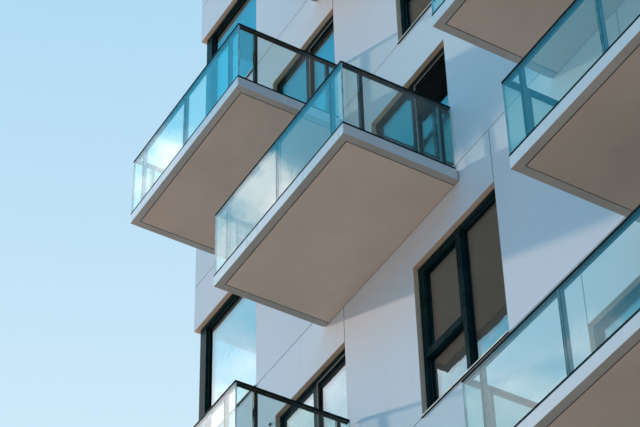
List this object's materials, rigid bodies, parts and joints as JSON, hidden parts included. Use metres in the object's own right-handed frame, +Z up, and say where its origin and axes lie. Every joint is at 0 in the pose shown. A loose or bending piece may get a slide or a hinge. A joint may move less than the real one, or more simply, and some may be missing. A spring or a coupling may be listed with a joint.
{
  "type": "apartment block",
  "caption": "Flat-roofed apartment block with white panel walls, staggered cantilevered balconies with glass guards, corner windows and a ground-storey entrance.",
  "frame": {"origin": "centre of the walls' footprint, at ground level on the building's underside", "axes": "+Z up, -Y towards the front with the balconies and the entrance, +X to the right as seen from the front"},
  "size_m": [15.39, 16.045, 30.19],
  "materials": {
    "facade_panels": "smooth white render, matt",
    "concrete": "plain grey concrete",
    "coping_metal": "light grey powder coat, satin",
    "dark_frames": "near-black green-grey powder coat, satin",
    "window_glass": "clear sealed unit with a blue-green tint",
    "guard_glass": "clear laminated glass with a blue-green tint",
    "edge_trim": "white folded sheet, satin",
    "soffit_board": "warm grey fibre cement board, matt",
    "sill_metal": "folded sheet, satin",
    "handle_steel": "brushed"
  },
  "bodies": {
    "root": {"front_wall": "concrete", "back_wall": "concrete", "left_wall": "concrete", "right_wall": "concrete", "floor_slabs": "concrete", "roof_slab": "concrete", "ground_slab": "concrete", "balcony_slabs": "concrete", "front_cladding": "facade_panels", "back_cladding": "facade_panels", "left_cladding": "facade_panels", "right_cladding": "facade_panels", "parapet_coping": "coping_metal", "front_window_frames": "dark_frames", "back_window_frames": "dark_frames", "left_window_frames": "dark_frames", "right_window_frames": "dark_frames", "corner_window_frames": "dark_frames", "corner_window_posts": "dark_frames", "balcony_door_frames": "dark_frames", "balcony_door_sashes": "dark_frames", "entrance_frame": "dark_frames", "entrance_doors": "dark_frames", "guard_glass_angles": "dark_frames", "guard_posts": "dark_frames", "guard_rails": "dark_frames", "front_window_glass": "window_glass", "back_window_glass": "window_glass", "left_window_glass": "window_glass", "right_window_glass": "window_glass", "corner_window_glass": "window_glass", "balcony_door_glass": "window_glass", "entrance_glass": "window_glass", "guard_glass": "guard_glass", "balcony_edge_trims": "edge_trim", "balcony_soffit_boards": "soffit_board", "window_sills": "sill_metal", "corner_window_sills": "sill_metal", "balcony_door_sills": "sill_metal", "entrance_handles": "handle_steel"}
  },
  "joints": []
}
